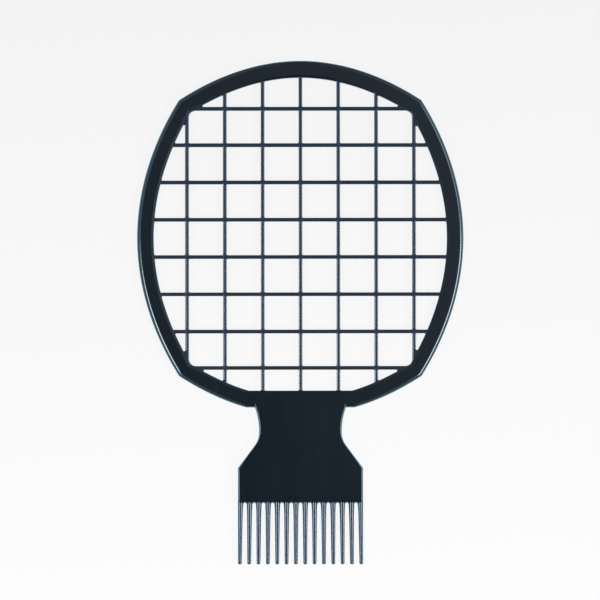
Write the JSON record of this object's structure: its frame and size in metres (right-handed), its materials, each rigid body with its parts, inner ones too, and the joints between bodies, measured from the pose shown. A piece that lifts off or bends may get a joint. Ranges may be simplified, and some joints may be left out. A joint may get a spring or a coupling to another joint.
{
  "type": "twist comb",
  "caption": "Flat racket-shaped twist comb in dark plastic: an oval rim holding a square net of bars, a waisted grip plate and a row of long comb teeth.",
  "frame": {"origin": "under the middle of the whole outline, on the back face that the comb lies on", "axes": "+Y along the comb from the teeth to the far end of the rim, +X across it to the right, +Z out of its front face"},
  "size_m": [0.146, 0.2254, 0.004],
  "materials": {
    "comb_plastic": "very dark blue-black moulded plastic with a satin gloss"
  },
  "bodies": {
    "root": {"rim": "comb_plastic", "upright_1": "comb_plastic", "upright_2": "comb_plastic", "upright_3": "comb_plastic", "upright_4": "comb_plastic", "upright_5": "comb_plastic", "upright_6": "comb_plastic", "upright_7": "comb_plastic", "crossbar_1": "comb_plastic", "crossbar_2": "comb_plastic", "crossbar_3": "comb_plastic", "crossbar_4": "comb_plastic", "crossbar_5": "comb_plastic", "crossbar_6": "comb_plastic", "crossbar_7": "comb_plastic", "crossbar_8": "comb_plastic", "handle_plate": "comb_plastic", "tooth_01": "comb_plastic", "tooth_02": "comb_plastic", "tooth_03": "comb_plastic", "tooth_04": "comb_plastic", "tooth_05": "comb_plastic", "tooth_06": "comb_plastic", "tooth_07": "comb_plastic", "tooth_08": "comb_plastic", "tooth_09": "comb_plastic", "tooth_10": "comb_plastic", "tooth_11": "comb_plastic", "tooth_12": "comb_plastic", "tooth_13": "comb_plastic", "tooth_14": "comb_plastic"}
  },
  "joints": []
}
